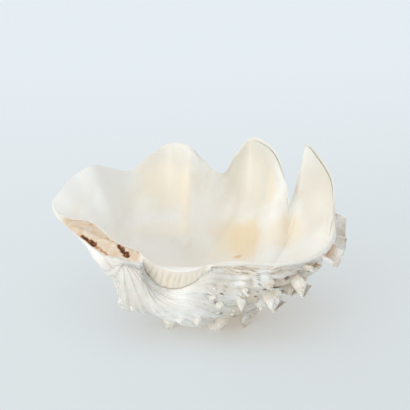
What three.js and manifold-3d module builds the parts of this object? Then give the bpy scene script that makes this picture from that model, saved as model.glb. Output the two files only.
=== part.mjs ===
import * as THREE from 'three'
import Module from 'manifold-3d'

// One valve of a fluted giant clam, lying on its outer face with the hollow side up.
// It is worked out in its own frame: x towards the front end, y towards the fluted lips,
// z towards the missing valve, with the beak at the origin. All lengths are millimetres.

const rad = degrees => degrees * Math.PI / 180
const clamp = value => Math.min(1, Math.max(0, value))
const ease = value => clamp(value) ** 2 * (3 - 2 * clamp(value))
const mixed = (from, to, share) => from + (to - from) * share
const blend = (from, to, share) => from.clone().lerp(to, share)
const point = (x, y, z) => new THREE.Vector3(x, y, z)

// How the valve lies in the row frame
const LEAN = rad(15)
const BEAK = point(-67.45, -71.1, 83.6)

// Growth: the rim turns round the hinge line and shrinks on its way back to the beak
const SHRINK_RATE = 0.6
const BEAK_ANGLE = rad(172)
const BEAK_CLOSING = 3.5
const BACK_LAG = { atBeak: 0.6, away: 3.4, from: 14, to: 60 }
const FRONT_LAG = 1.85
const LAG_CHANGE = 18
const DEEPEST = { x: 148, reach: 150, extra: 0.4 }
const BACK_BULGE = { height: 15, reach: 60, power: 0.7 }
const UMBO = { flattened: 0.45, from: -6, to: 30 }
const OUTER_FOLDS = { left: 0.2, end: rad(100) }
const HOLLOW_FOLDS = { left: 0.1, end: rad(55) }
const FOLD_FADING = 1.3

// The walls
const HOLLOW_ANGLE = rad(62)
const LIP = 3
const WALL = 9
const THINNEST = 3
const WALL_GROWTH = 0.8
const GRIP_RATE = 1.3
const BEHIND_SLOPE = 0.9
const FLOOR_MIDDLE = point(62, 26, 7)
const FLOOR_SMOOTHING = 1.6
const STEEPEST = -3.5
const HINGE_SIDE = { from: 2, to: 27 }
const FRONT_WALL = { ceiling: -3, slope: 0.5, level: -2, from: 6, to: 28 }

// Byssal gape: the long notch in front of the beak
const GAPE = { from: 17.5, to: 77, depth: 26, fade: 60, skew: 0.7, spread: 2, flank: 1.5 }

// The rim, station by station: x, y, z of the outer edge, with the inner edge where it isn't a lip
const RIM = [
  [[-64, 66, 0], [-61, 67, 1]],
  [[-67, 78, 3]],
  [[-60, 90, 7]],
  [[-50, 106, 11]],
  [[-33, 117, 15]],
  [[-19, 130, 3]],
  [[-1, 142, -10]],
  [[20, 152, 2]],
  [[40, 156, 12]],
  [[58, 142, 16]],
  [[71, 140, 3]],
  [[88, 140, -11]],
  [[101, 153, 2]],
  [[115, 161, 11]],
  [[127, 150, 14]],
  [[139, 126, 15]],
  [[146, 113, 1]],
  [[150, 105, -16]],
  [[160, 123, 5]],
  [[166, 130, 22]],
  [[177, 117, 19]],
  [[188, 94, 12]],
  [[190, 72, -8]],
  [[188, 45, -4]],
  [[177, 20, -3]],
  [[150, 4, -4]],
  [[112, -1, -4], [112, 4, -2]],
  [[77, -2, -4], [77, 3, -5]],
  [[62, -7, -4], [62, -3, -7]],
  [[46, -8, -4], [46, -3, -8]],
  [[26, -2, -4], [27, 3, -5]],
  [[19, 2, -3], [20, 5, 0]],
  [[12, 3.5, -1], [10, 16, 1]],
  [[-3, 7.5, 0], [-6, 25, 1]],
  [[-20, 13.5, 0], [-20, 43, 1]],
  [[-34, 26.5, 0], [-32, 55, 1]],
  [[-52, 48, 0], [-49, 58, 1]],
]

const STATIONS = 96
const OUTER_ROWS = 16
const OUTER_SPACING = 1.2
const LIP_ROWS = 2
const INNER_ROWS = 7
const INNER_SPACING = 1.15
const FLOOR_ROWS = 5

const wrap = station => ((station % STATIONS) + STATIONS) % STATIONS
const everyStation = make => Array.from({ length: STATIONS }, (_, station) => make(station))
const spaced = (count, power) => Array.from({ length: count }, (_, row) => (row / (count - 1)) ** power)

// Even steps along the outer edge, as shares of the curve through the rim's stations
const closedCurve = places => new THREE.CatmullRomCurve3(places, true, 'centripetal')
const outerCurve = closedCurve(RIM.map(([outer]) => point(...outer)))
const evenShares = curve => {
  const marks = 4000
  const lengths = [0]
  for (let mark = 1; mark <= marks; mark++) {
    lengths.push(lengths[mark - 1] + curve.getPoint(mark / marks).distanceTo(curve.getPoint((mark - 1) / marks)))
  }
  return everyStation(station => {
    const wanted = station / STATIONS * lengths[marks]
    const after = Math.max(1, lengths.findIndex(length => length >= wanted))
    return (after - 1 + (wanted - lengths[after - 1]) / (lengths[after] - lengths[after - 1])) / marks
  })
}
const shares = evenShares(outerCurve)
const rimEdge = shares.map(share => outerCurve.getPoint(share))

// The weighted mean of the stations on both sides
const averaged = (places, reach, weigh) => places.map((_, station) => {
  const sum = point(0, 0, 0)
  let total = 0
  for (let step = -reach; step <= reach; step++) {
    const weight = weigh(step / (reach + 1))
    sum.addScaledVector(places[wrap(station + step)], weight)
    total += weight
  }
  return sum.divideScalar(total)
})
const SMOOTHING_REACH = Math.round(STATIONS / 10)
const bell = share => Math.cos(share * Math.PI / 2) ** 2
const level = () => 1
const smoothRim = averaged(rimEdge, SMOOTHING_REACH, bell)

const shrink = angle => Math.exp(-SHRINK_RATE * angle) * (1 - clamp(angle / BEAK_ANGLE) ** BEAK_CLOSING)
const fade = (value, { from, to }) => ease((value - from) / (to - from))

const grown = (edge, angle) => {
  const size = shrink(angle)
  const cos = Math.cos(angle)
  const sin = Math.sin(angle)
  const front = 1 / (1 + Math.exp(-edge.x / LAG_CHANGE))
  const reach = Math.hypot(edge.y, edge.z)
  const backLag = mixed(BACK_LAG.atBeak, BACK_LAG.away, fade(reach, BACK_LAG))
  const x = edge.x * mixed(size ** backLag, 1 - (1 - size) ** FRONT_LAG, front)
  const bulge = BACK_BULGE.height * clamp(reach / BACK_BULGE.reach) ** BACK_BULGE.power * sin ** 2 * Math.sqrt(size)
  const y = size * (edge.y * cos + edge.z * sin) - bulge
  const round = y < 0 ? mixed(UMBO.flattened, 1, fade(x, UMBO)) : 1
  const depth = 1 + DEEPEST.extra * bell(Math.max(-1, Math.min(1, (edge.x - DEEPEST.x) / DEEPEST.reach)))
  return point(x, y * round, depth * size * (edge.z * cos - edge.y * sin))
}

const foldsAt = (angle, folds) => folds.left + (1 - folds.left) * clamp(1 - angle / folds.end) ** FOLD_FADING
const sweptPoint = (station, angle, folds = OUTER_FOLDS) => (
  grown(blend(smoothRim[station], rimEdge[station], foldsAt(angle, folds)), angle)
)
const sweptRing = (angle, folds) => everyStation(station => sweptPoint(station, angle, folds))

const gapeDepth = (x, z) => {
  const share = clamp((x - GAPE.from) / (GAPE.to - GAPE.from))
  const near = clamp(1 + z / GAPE.fade) ** 2
  return GAPE.depth * near * Math.max(0, Math.sin(Math.PI * share ** GAPE.skew)) ** (GAPE.spread - GAPE.flank * near)
}

// The front wall stays under the rim, and the gape pushes it further down
const settled = place => {
  const ceiling = FRONT_WALL.ceiling + FRONT_WALL.slope * Math.min(0, place.y - FRONT_WALL.level)
  const front = 1 - fade(place.y, FRONT_WALL)
  const z = place.z - front * Math.max(0, place.z - ceiling)
  return point(place.x, place.y, z - gapeDepth(place.x, z) * front)
}
const outerRing = angle => sweptRing(angle).map(settled)

// How much a station belongs to the hinge side, from 0 to 1
const hingeSide = rimEdge.map(place => 1 - fade(place.y, HINGE_SIDE))

// The way into the wall from the swept surface, at every station of one ring
const inwardAt = angle => {
  const step = rad(1)
  const ring = sweptRing(angle)
  const before = sweptRing(Math.max(0, angle - step))
  const after = sweptRing(angle + step)
  const normals = ring.map((_, station) => {
    const across = ring[wrap(station + 1)].clone().sub(ring[wrap(station - 1)])
    const growth = after[station].clone().sub(before[station])
    return growth.cross(across).normalize()
  })
  return averaged(normals, 2, level).map((normal, station) => (
    blend(normal, point(0, 1, 0), hingeSide[station]).normalize()
  ))
}

// The inner edge: a plain lip, and the broad plates at the hinge and the gape
const plainInner = inwardAt(0).map((normal, station) => rimEdge[station].clone().addScaledVector(normal, LIP))
const innerCurve = closedCurve(RIM.map(([outer, inner]) => point(...(inner || outer))))
const plateShare = averaged(shares.map(share => {
  const place = share * RIM.length
  const plated = RIM[Math.floor(place) % RIM.length][1] && RIM[Math.ceil(place) % RIM.length][1]
  return point(plated ? 1 : 0, 0, 0)
}), 1, level).map(value => value.x)
const innerEdge = everyStation(station => (
  blend(plainInner[station], innerCurve.getPoint(shares[station]), plateShare[station])
))

const wallAt = share => mixed(LIP, WALL, clamp(share) ** WALL_GROWTH)
const thinnestAt = share => mixed(LIP / 2, THINNEST, clamp(share))
const hollowRing = share => {
  if (share === 0) return innerEdge
  const angle = share * HOLLOW_ANGLE
  const inward = inwardAt(angle)
  const smoother = sweptRing(angle, HOLLOW_FOLDS)
  const wall = wallAt(share)
  const thinnest = thinnestAt(share)
  const grip = ease(share * GRIP_RATE)
  return sweptRing(angle).map((place, station) => {
    const thick = wall + smoother[station].sub(place).dot(inward[station])
    const kept = thinnest + Math.log1p(Math.exp(thick - thinnest))
    const edge = innerEdge[station].clone().sub(rimEdge[station])
    const offset = edge.multiplyScalar((1 - grip) * shrink(angle)).addScaledVector(inward[station], kept * grip)
    const inside = place.clone().add(offset)
    const highest = innerEdge[station].z - BEHIND_SLOPE * Math.max(0, inside.y - innerEdge[station].y)
    inside.z -= hingeSide[station] * Math.max(0, inside.z - highest)
    return inside
  })
}
const hollow = spaced(INNER_ROWS, INNER_SPACING).map(hollowRing)
const lastHollow = hollow[INNER_ROWS - 1]
const floorMiddle = FLOOR_MIDDLE.clone()
floorMiddle.z += Math.min(...lastHollow.map(place => place.z))

// The floor of the hollow closes the last ring and smooths it out on its way to the middle
const smoothLast = averaged(lastHollow, SMOOTHING_REACH, bell)
const floorRing = share => lastHollow.map((place, station) => {
  const growth = place.clone().sub(hollow[INNER_ROWS - 2][station])
  const grownSlope = growth.z / Math.hypot(growth.x, growth.y)
  const slope = mixed(Math.min(0, Math.max(STEEPEST, grownSlope)), STEEPEST, hingeSide[station])
  const from = blend(place, smoothLast[station], ease(share * FLOOR_SMOOTHING))
  const reach = Math.hypot(floorMiddle.x - from.x, floorMiddle.y - from.y)
  const steep = slope * reach * share * (1 - share) ** 2
  return blend(from, floorMiddle, share).setZ(mixed(from.z, floorMiddle.z, ease(share)) + steep)
})

const toRow = place => place.clone().applyAxisAngle(point(1, 0, 0), LEAN).add(BEAK)

// A closed net of rings, with one point at each end
const closedNet = (first, rings, end) => {
  const around = rings[0].length
  const places = [first, ...rings.flat(), end]
  const faces = []
  for (let ring = 0; ring + 1 < rings.length; ring++) {
    for (let at = 0; at < around; at++) {
      const a = 1 + ring * around + at
      const b = 1 + ring * around + (at + 1) % around
      faces.push([a, b, b + around], [a, b + around, a + around])
    }
  }
  const start = 1 + (rings.length - 1) * around
  for (let at = 0; at < around; at++) {
    faces.push([0, 1 + (at + 1) % around, 1 + at])
    faces.push([places.length - 1, start + at, start + (at + 1) % around])
  }
  return { places, faces }
}

const wasm = await Module()
wasm.setup()
const solid = ({ places, faces }) => new wasm.Manifold(new wasm.Mesh({
  numProp: 3,
  vertProperties: new Float32Array(places.flatMap(place => toRow(place).toArray())),
  triVerts: new Uint32Array(faces.flat()),
}))

const shellBody = () => {
  const rim = outerRing(0)
  const rings = []
  for (let row = FLOOR_ROWS; row > 0; row--) rings.push(floorRing(row / (FLOOR_ROWS + 1)))
  rings.push(...hollow.slice().reverse())
  for (let row = 1; row < LIP_ROWS; row++) {
    rings.push(innerEdge.map((place, station) => blend(place, rim[station], row / LIP_ROWS)))
  }
  const angles = spaced(OUTER_ROWS, OUTER_SPACING).slice(0, -1).map(share => share * BEAK_ANGLE)
  rings.push(...angles.map(outerRing))
  return solid(closedNet(floorMiddle, rings, settled(point(0, 0, 0))))
}

// Leaf scales stand on the ribs like roof tiles, and open like scoops towards the rim.
// Each has its share of the way round the rim, its growth angle in degrees, its width,
// its length, how far it leans towards the rim in degrees, from 0 to 1 how pointed it is,
// and how deep a scoop it is for its width.
const SINGLE_SCALES = [
  [0.596, 17, 24, 17, 0, 0.1, 1.2],
  [0.652, 15, 18, 17, 5, 0.1, 0.6],
  [0.658, 33, 13, 11, 30, 0, 0.6],
  [0.627, 52, 16, 24, -8, 0.3, 0.75],
  [0.598, 74, 18, 21, 0, 0.5, 0.85],
  [0.438, 66, 18, 21.6, 5, 0.4, 0.6],
  [0.403, 84, 17, 12, -10, 0.7, 0.4],
  [0.352, 76, 19, 12.8, 10, 0.4, 0.3],
  [0.355, 55, 18, 21, 10, 0.2, 0.3],
  [0.28, 52, 15, 25, 5, 0.3, 0.3],
  [0.25, 80, 13, 25.3, 30, 0.2, 0.4],
  [0.375, 100, 9, 9, -10, 1, 0.3],
  [0.335, 108, 8, 7, 0, 1, 0.3],
  [0.578, 92, 9, 12, 0, 0.7, 0.7],
  [0.632, 72, 13, 11, 30, 0.4, 0.8],
  [0.57, 80, 12, 12, 20, 0.6, 0.8],
  [0.605, 60, 13, 12, 20, 0.5, 0.8],
  [0.565, 110, 6, 5, 20, 0.3, 0.5],
  [0.54, 104, 7, 6, 20, 0.3, 0.5],
  [0.616, 88, 7, 6, 20, 0.3, 0.5],
  [0.127, 104, 6, 5, 10, 0.6, 0.3],
  [0.18, 102, 6, 5, 0, 0.6, 0.3],
  [0.141, 20, 11, 8, 40, 0.2, 0.3],
  [0.141, 46, 10, 9, 30, 0.4, 0.3],
  [0.279, 20, 12, 8, 40, 0.2, 0.3],
  [0.432, 20, 12, 9, 35, 0.2, 0.3],
  [0.432, 44, 12, 12, 20, 0.3, 0.3],
]

// The rows of broad scales on the ribs behind: each rib's share of the way round and width
// factor, and each row's growth angle, width, length, lean, point and scoop
const RIBS = [[0.07, 0.9], [0.21, 1.1], [0.355, 1.1], [0.5, 0.7]]
const RIB_SCALES = [
  [12, 26, 14, 40, 0.1, 0.4],
  [26, 25, 17, 35, 0.1, 0.4],
  [41, 21, 19, 25, 0.2, 0.4],
]
const SCALES = [
  ...SINGLE_SCALES,
  ...RIBS.flatMap(([share, wider]) => RIB_SCALES.map(([angle, width, ...rest]) => [share, angle, width * wider, ...rest])),
]
const SCALE = {
  rows: 2,
  columns: 6,
  rootShare: 0.6,
  thickness: 2.6,
  tip: 1.3,
  turn: rad(2),
  nearest: rad(1),
  flare: 0.3,
  curl: 0.12,
  blunt: { taper: 0.4, rounding: 0.25 },
  pointed: { taper: 1.0, rounding: 0.6 },
  roundingPower: 1.4,
}

// A point of the outer face between two stations
const facePoint = (station, angle) => {
  const low = Math.floor(station)
  const from = settled(sweptPoint(wrap(low), angle))
  return blend(from, settled(sweptPoint(wrap(low + 1), angle)), station - low)
}

const scaleBody = ([share, degrees, width, length, leanDegrees, pointed, scoop]) => {
  const angle = rad(degrees)
  const lean = rad(leanDegrees)
  const station = share * STATIONS
  const taper = mixed(SCALE.blunt.taper, SCALE.pointed.taper, pointed)
  const rounding = mixed(SCALE.blunt.rounding, SCALE.pointed.rounding, pointed)
  const nearer = Math.max(0, angle - SCALE.turn)
  const growth = facePoint(station, nearer).sub(facePoint(station, angle + SCALE.turn))
  const perAngle = growth.length() / (angle + SCALE.turn - nearer)
  growth.normalize()
  const across = facePoint(station + 1, angle).sub(facePoint(station - 1, angle))
  const perStation = across.length() / 2
  across.addScaledVector(growth, -across.dot(growth)).normalize()
  const outward = growth.clone().cross(across)
  const up = outward.clone().multiplyScalar(Math.cos(lean)).addScaledVector(growth, Math.sin(lean))
  const rimward = growth.clone().multiplyScalar(Math.cos(lean)).addScaledVector(outward, -Math.sin(lean))
  const place = (column, row, side) => {
    const sideways = 2 * column / SCALE.columns - 1
    const height = row / SCALE.rows
    const footAngle = Math.max(SCALE.nearest, angle - scoop * width * sideways ** 2 / perAngle)
    const foot = facePoint(station + sideways * width / 2 / perStation, footAngle)
    const root = SCALE.rootShare * thinnestAt(footAngle / HOLLOW_ANGLE)
    const spread = sideways * width / 2 * (SCALE.flare * height - taper * height ** 3)
    const rise = mixed(-root, length * (1 - rounding * Math.abs(sideways) ** SCALE.roundingPower), height)
    const thickness = mixed(SCALE.thickness, SCALE.tip, height)
    return foot.addScaledVector(across, spread).addScaledVector(up, rise)
      .addScaledVector(rimward, SCALE.curl * length * height ** 2 + side * thickness / 2)
  }
  const columns = Array.from({ length: SCALE.columns + 1 }, (_, column) => column)
  const rings = Array.from({ length: SCALE.rows + 1 }, (_, row) => [
    ...columns.map(column => place(column, row, 1)),
    ...columns.map(column => place(SCALE.columns - column, row, -1)),
  ])
  const middle = row => blend(place(SCALE.columns / 2, row, 1), place(SCALE.columns / 2, row, -1), 0.5)
  const net = closedNet(middle(0), rings, middle(SCALE.rows))
  const body = solid(net)
  return body.volume() > 0 ? body : solid({ ...net, faces: net.faces.map(([a, b, c]) => [a, c, b]) })
}

// Everything below the table is worn flat, so that the scales under it are its feet
const TABLE_BLOCK = 400
const table = wasm.Manifold.cube([TABLE_BLOCK, TABLE_BLOCK, TABLE_BLOCK], true).translate([0, 0, -TABLE_BLOCK / 2])
const joined = wasm.Manifold.union([shellBody(), ...SCALES.map(scaleBody)]).subtract(table)

// The outermost surface alone, which leaves out any bubble shut in under a scale
const SMALLEST_STEP = 0.1
const pieces = joined.asOriginal().simplify(SMALLEST_STEP).decompose()
const valve = pieces.reduce((kept, piece) => (piece.volume() > kept.volume() ? piece : kept))

const meshOf = (body, name, colour) => {
  const data = body.getMesh()
  const places = []
  for (let at = 0; at < data.numVert; at++) {
    const from = at * data.numProp
    places.push(data.vertProperties[from], data.vertProperties[from + 1], data.vertProperties[from + 2])
  }
  const geometry = new THREE.BufferGeometry()
  geometry.setAttribute('position', new THREE.Float32BufferAttribute(places, 3))
  geometry.setIndex(Array.from(data.triVerts))
  const mesh = new THREE.Mesh(geometry, new THREE.MeshStandardMaterial({ color: colour, roughness: 0.6, metalness: 0 }))
  mesh.name = name
  return mesh
}

const clam = new THREE.Group()
clam.add(meshOf(valve, 'valve', '#efe6d4'))

export default clam
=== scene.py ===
"""A fluted giant clam valve, dressed for rendering: a finely grown shell with riblets, leaf
scales, hinge plate and byssal gape, in chalky outside and porcelain inside finishes.
Lengths are millimetres in the valve's own frame until a mesh is made. In that frame x is
towards the front end, y towards the fluted lips, z towards the missing valve, and the
beak is the origin."""

import math

import bpy
import numpy as np
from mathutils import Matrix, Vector


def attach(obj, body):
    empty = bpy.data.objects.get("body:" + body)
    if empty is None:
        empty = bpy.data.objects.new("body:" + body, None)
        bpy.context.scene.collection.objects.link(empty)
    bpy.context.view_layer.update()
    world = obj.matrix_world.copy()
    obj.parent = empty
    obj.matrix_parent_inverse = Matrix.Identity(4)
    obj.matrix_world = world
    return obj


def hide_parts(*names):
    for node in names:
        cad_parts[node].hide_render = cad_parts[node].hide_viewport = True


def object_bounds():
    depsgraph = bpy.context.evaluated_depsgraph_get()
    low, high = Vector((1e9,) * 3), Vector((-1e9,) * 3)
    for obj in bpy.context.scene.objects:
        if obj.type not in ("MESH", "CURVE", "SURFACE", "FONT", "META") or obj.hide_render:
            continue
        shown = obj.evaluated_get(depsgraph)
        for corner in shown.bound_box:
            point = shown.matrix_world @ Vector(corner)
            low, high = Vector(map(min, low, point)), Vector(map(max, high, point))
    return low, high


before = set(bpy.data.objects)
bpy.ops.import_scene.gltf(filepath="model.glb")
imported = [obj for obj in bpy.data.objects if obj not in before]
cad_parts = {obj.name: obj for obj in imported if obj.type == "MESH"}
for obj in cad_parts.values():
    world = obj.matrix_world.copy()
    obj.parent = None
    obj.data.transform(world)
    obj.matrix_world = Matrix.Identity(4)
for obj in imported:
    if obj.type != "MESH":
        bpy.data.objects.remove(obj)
cad_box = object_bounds()

MM = 0.001
TAU = 2 * math.pi
SHARP = math.radians(50)


# Small helpers

def ease(value):
    value = np.clip(value, 0.0, 1.0)
    return value * value * (3.0 - 2.0 * value)


def fade(value, start, end):
    return ease((value - start) / (end - start))


def mixed(start, end, share):
    return start + (end - start) * share


def unit(vectors):
    return vectors / (np.linalg.norm(vectors, axis=-1, keepdims=True) + 1e-9)


def bell(share):
    return np.cos(np.clip(share, -1.0, 1.0) * math.pi / 2) ** 2


# How the valve lies, and how it grew, as the solid valve does, with a thinner lip

LEAN = math.radians(15)
BEAK = np.array([-67.45, -71.1, 83.6])
SHRINK_RATE = 0.6
BEAK_ANGLE = math.radians(172)
BEAK_CLOSING = 3.5
BEAK_LAG = 0.6
BACK_LAG = 3.4
BACK_LAG_FROM = 14.0
BACK_LAG_TO = 60.0
FRONT_LAG = 1.85
LAG_CHANGE = 18.0
DEEPEST_X = 148.0
DEEPEST_REACH = 150.0
DEEPEST_EXTRA = 0.4
BACK_BULGE = 15.0
BULGE_REACH = 60.0
BULGE_POWER = 0.7
OVERHANG = 0.45
OVERHANG_FROM = -6.0
OVERHANG_TO = 30.0
FOLDS_LEFT = 0.2
FOLDS_END = math.radians(100)
FOLDS_POWER = 1.3
HOLLOW_FOLDS_LEFT = 0.1
HOLLOW_FOLDS_END = math.radians(55)
HOLLOW_ANGLE = math.radians(62)
LIP = 2.0
THINNEST = 3.5
WALL = 9.0
WALL_POWER = 0.8
GRIP_RATE = 1.3
LEAST_WALL = 4.2
LEAST_WALL_DEPTHS = (0.02, 0.3)
SIGHT_DROP = 0.9
SIGHT_DEPTHS = (0.0, 0.08)
STEEPEST = -3.5
FLOOR_SMOOTHING = 1.6
FLOOR_MIDDLE = np.array([62.0, 26.0])
FLOOR_LIFT = 7.0
HINGE_FROM = 2.0
HINGE_TO = 27.0
GAPE_FROM = 17.5
GAPE_TO = 77.0
GAPE_DEPTH = 26.0
GAPE_FADE = 60.0
GAPE_SKEW = 0.7
GAPE_SOFT = 2.0
GAPE_ROUND = 1.5
FRONT_CEILING = -3.0
FRONT_EDGE = -2.0
FRONT_SLOPE = 0.5
FRONT_FROM = 6.0
FRONT_TO = 28.0
ANGLE_STEP = math.radians(1)

# The rim, station by station: the outer edge, then the inner edge where it isn't a lip
RIM = [
    [(-64, 66, 0), (-61, 67, 1)],
    [(-67, 78, 3)],
    [(-60, 90, 7)],
    [(-50, 106, 11)],
    [(-33, 117, 15)],
    [(-19, 130, 3)],
    [(-1, 142, -10)],
    [(20, 152, 2)],
    [(40, 156, 12)],
    [(58, 142, 16)],
    [(71, 140, 3)],
    [(88, 140, -11)],
    [(101, 153, 2)],
    [(115, 161, 11)],
    [(127, 150, 14)],
    [(139, 126, 15)],
    [(146, 113, 1)],
    [(150, 105, -16)],
    [(160, 123, 5)],
    [(166, 130, 22)],
    [(177, 117, 19)],
    [(188, 94, 12)],
    [(190, 72, -8)],
    [(188, 45, -4)],
    [(177, 20, -3)],
    [(150, 4, -4)],
    [(112, -1, -4), (112, 4, -2)],
    [(77, -2, -4), (77, 3, -5)],
    [(62, -7, -4), (62, -3, -7)],
    [(46, -8, -4), (46, -3, -8)],
    [(26, -2, -4), (27, 3, -5)],
    [(19, 2, -3), (20, 5, 0)],
    [(12, 3.5, -1), (10, 16, 1)],
    [(-3, 7.5, 0), (-6, 25, 1)],
    [(-20, 13.5, 0), (-20, 43, 1)],
    [(-34, 26.5, 0), (-32, 55, 1)],
    [(-52, 48, 0), (-49, 58, 1)],
]

STATIONS = 480
OUTER_ROWS = 96
OUTER_SPACING = 1.2
LIP_ROWS = 14
HOLLOW_ROWS = 52
HOLLOW_SPACING = 1.15
FLOOR_ROWS = 16

# How many stations to each side an average takes in, and the depths where it sets in
RIM_SMOOTHING = 48
NORMAL_SMOOTHING = 10
PLATE_SMOOTHING = 5
HOLLOW_SOFTENING = 11
SOFTENING_DEPTHS = (0.01, 0.14)
DEEP_SOFTENING = 54
DEEP_SOFTENING_DEPTHS = (0.1, 0.85)


def curve_at(points, shares):
    """Points at the given shares of a closed centripetal curve through the rim's points."""
    points = np.asarray(points, float)
    count = len(points)
    place = (np.asarray(shares) % 1.0) * count
    first = np.floor(place).astype(int) % count
    step = (place - np.floor(place))[:, None]
    before, start, end, after = (points[(first + k) % count] for k in (-1, 0, 1, 2))

    def knot(a, b):
        return np.maximum(((a - b) ** 2).sum(1), 1e-12)[:, None] ** 0.25

    left, middle, right = knot(before, start), knot(start, end), knot(end, after)
    out = ((start - before) / left - (end - before) / (left + middle) + (end - start) / middle) * middle
    into = ((end - start) / middle - (after - start) / (middle + right) + (after - end) / right) * middle
    cubic = (2 * start - 2 * end + out + into) * step ** 3
    square = (-3 * start + 3 * end - 2 * out - into) * step ** 2
    return cubic + square + out * step + start


def even_shares(points, count):
    marks = np.linspace(0.0, 1.0, 4001)
    line = curve_at(points, marks)
    steps = np.linalg.norm(np.diff(line, axis=0), axis=1)
    lengths = np.concatenate([[0.0], np.cumsum(steps)])
    return np.interp(np.arange(count) / count * lengths[-1], lengths, marks)


def averaged(loop, reach, weigh):
    """Each station's weighted mean with its neighbours. The loop's station axis is second to last."""
    steps = np.arange(-reach, reach + 1)
    weights = weigh(steps / (reach + 1))
    total = sum(w * np.roll(loop, -int(k), axis=-2) for k, w in zip(steps, weights))
    return total / weights.sum()


RIM_OUTER = [station[0] for station in RIM]
RIM_INNER = [station[-1] for station in RIM]
RIM_PLATED = np.array([len(station) == 2 for station in RIM])
SHARES = even_shares(RIM_OUTER, STATIONS)
STATION = np.arange(STATIONS) / STATIONS
rim_edge = curve_at(RIM_OUTER, SHARES)
smooth_rim = averaged(rim_edge, RIM_SMOOTHING, bell)
hinge_side = (1 - fade(rim_edge[:, 1], HINGE_FROM, HINGE_TO))[:, None]


def shrink(angle):
    return np.exp(-SHRINK_RATE * angle) * (1 - np.clip(angle / BEAK_ANGLE, 0, 1) ** BEAK_CLOSING)


def grown(edge, angle):
    """The rim's points turned back round the hinge line by a growth angle, and shrunk."""
    size = shrink(angle)
    cos = np.cos(angle)
    sin = np.sin(angle)
    x, y, z = edge[..., 0], edge[..., 1], edge[..., 2]
    front = 1 / (1 + np.exp(-x / LAG_CHANGE))
    reach = np.hypot(y, z)
    back_lag = mixed(BEAK_LAG, BACK_LAG, fade(reach, BACK_LAG_FROM, BACK_LAG_TO))
    along = x * mixed(size ** back_lag, 1 - (1 - size) ** FRONT_LAG, front)
    bulge = BACK_BULGE * np.clip(reach / BULGE_REACH, 0, 1) ** BULGE_POWER * sin ** 2 * np.sqrt(size)
    out = size * (y * cos + z * sin) - bulge
    kept = OVERHANG + (1 - OVERHANG) * fade(along, OVERHANG_FROM, OVERHANG_TO)
    out = np.where(out < 0, out * kept, out)
    depth = 1 + DEEPEST_EXTRA * bell((x - DEEPEST_X) / DEEPEST_REACH)
    return np.stack([along, out, depth * size * (z * cos - y * sin)], -1)


def folds_at(angle, left=FOLDS_LEFT, end=FOLDS_END):
    return left + (1 - left) * np.clip(1 - angle / end, 0, 1) ** FOLDS_POWER


def swept(angles, left=FOLDS_LEFT, end=FOLDS_END):
    """Rings of the swept surface, one for each growth angle."""
    angles = np.asarray(angles, float)[:, None]
    folds = folds_at(angles, left, end)[..., None]
    return grown(smooth_rim * (1 - folds) + rim_edge * folds, angles)


def gape_depth(x, z):
    share = np.clip((x - GAPE_FROM) / (GAPE_TO - GAPE_FROM), 0, 1)
    near = np.clip(1 + z / GAPE_FADE, 0, 1) ** 2
    bow = np.maximum(0, np.sin(math.pi * share ** GAPE_SKEW))
    return GAPE_DEPTH * near * bow ** (GAPE_SOFT - GAPE_ROUND * near)


def settled(places):
    """The front wall kept under the rim, and pushed further down by the gape."""
    x, y, z = places[..., 0], places[..., 1], places[..., 2]
    ceiling = FRONT_CEILING + FRONT_SLOPE * np.minimum(0, y - FRONT_EDGE)
    front = 1 - fade(y, FRONT_FROM, FRONT_TO)
    z = z - front * np.maximum(0, z - ceiling)
    return np.stack([x, y, z - gape_depth(x, z) * front], -1)


def inward_at(angles):
    """The way into the wall at each station of each ring, smoothed along the rim."""
    angles = np.asarray(angles, float)
    rings = swept(angles)
    across = np.roll(rings, -1, axis=1) - np.roll(rings, 1, axis=1)
    growth = swept(angles + ANGLE_STEP) - swept(np.maximum(0, angles - ANGLE_STEP))
    normals = averaged(unit(np.cross(growth, across)), NORMAL_SMOOTHING, np.ones_like)
    return unit(unit(normals) * (1 - hinge_side) + np.array([0, 1.0, 0]) * hinge_side)


def inner_edge_loop():
    """The inner edge of the lip, and of the hinge plate and the gape's border."""
    plain = rim_edge + inward_at([0.0])[0] * LIP
    place = SHARES * len(RIM)
    low = np.floor(place).astype(int) % len(RIM)
    plated = (RIM_PLATED[low] & RIM_PLATED[(low + 1) % len(RIM)]).astype(float)[:, None]
    share = averaged(plated, PLATE_SMOOTHING, np.ones_like)
    return plain * (1 - share) + curve_at(RIM_INNER, SHARES) * share


inner_edge = inner_edge_loop()


def hollow_rings(shares):
    """Rings of the hollow from the lip down, under the line of sight over the front edge."""
    shares = np.asarray(shares, float)
    angles = shares * HOLLOW_ANGLE
    wall = mixed(LIP, WALL, shares ** WALL_POWER)[:, None, None]
    grip = ease(shares * GRIP_RATE)[:, None, None]
    size = shrink(angles)[:, None, None]
    edge = (inner_edge - rim_edge) * (1 - grip) * size
    inward = inward_at(angles)
    outer = swept(angles)
    soft = swept(angles, HOLLOW_FOLDS_LEFT, HOLLOW_FOLDS_END)
    thin = mixed(LIP, THINNEST, shares)[:, None, None]
    thick = wall + ((soft - outer) * inward).sum(-1, keepdims=True)
    rings = outer + edge + inward * (thin + np.log1p(np.exp(thick - thin))) * grip
    rings[shares == 0] = inner_edge
    x, y, z = rings[..., 0], rings[..., 1], rings[..., 2]
    front = inner_edge[hinge_side[:, 0] > 0.5]
    front = front[np.argsort(front[:, 0])]
    front_y = np.interp(x, front[:, 0], front[:, 1])
    front_z = np.interp(x, front[:, 0], front[:, 2])
    own = inner_edge[:, 2] - SIGHT_DROP * np.maximum(0, y - inner_edge[:, 1])
    highest = np.minimum(own, front_z - SIGHT_DROP * np.maximum(0, y - front_y))
    under = fade(shares, *SIGHT_DEPTHS)[:, None]
    rings[..., 2] -= hinge_side[:, 0] * under * np.maximum(0, z - highest)
    return rings


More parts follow.
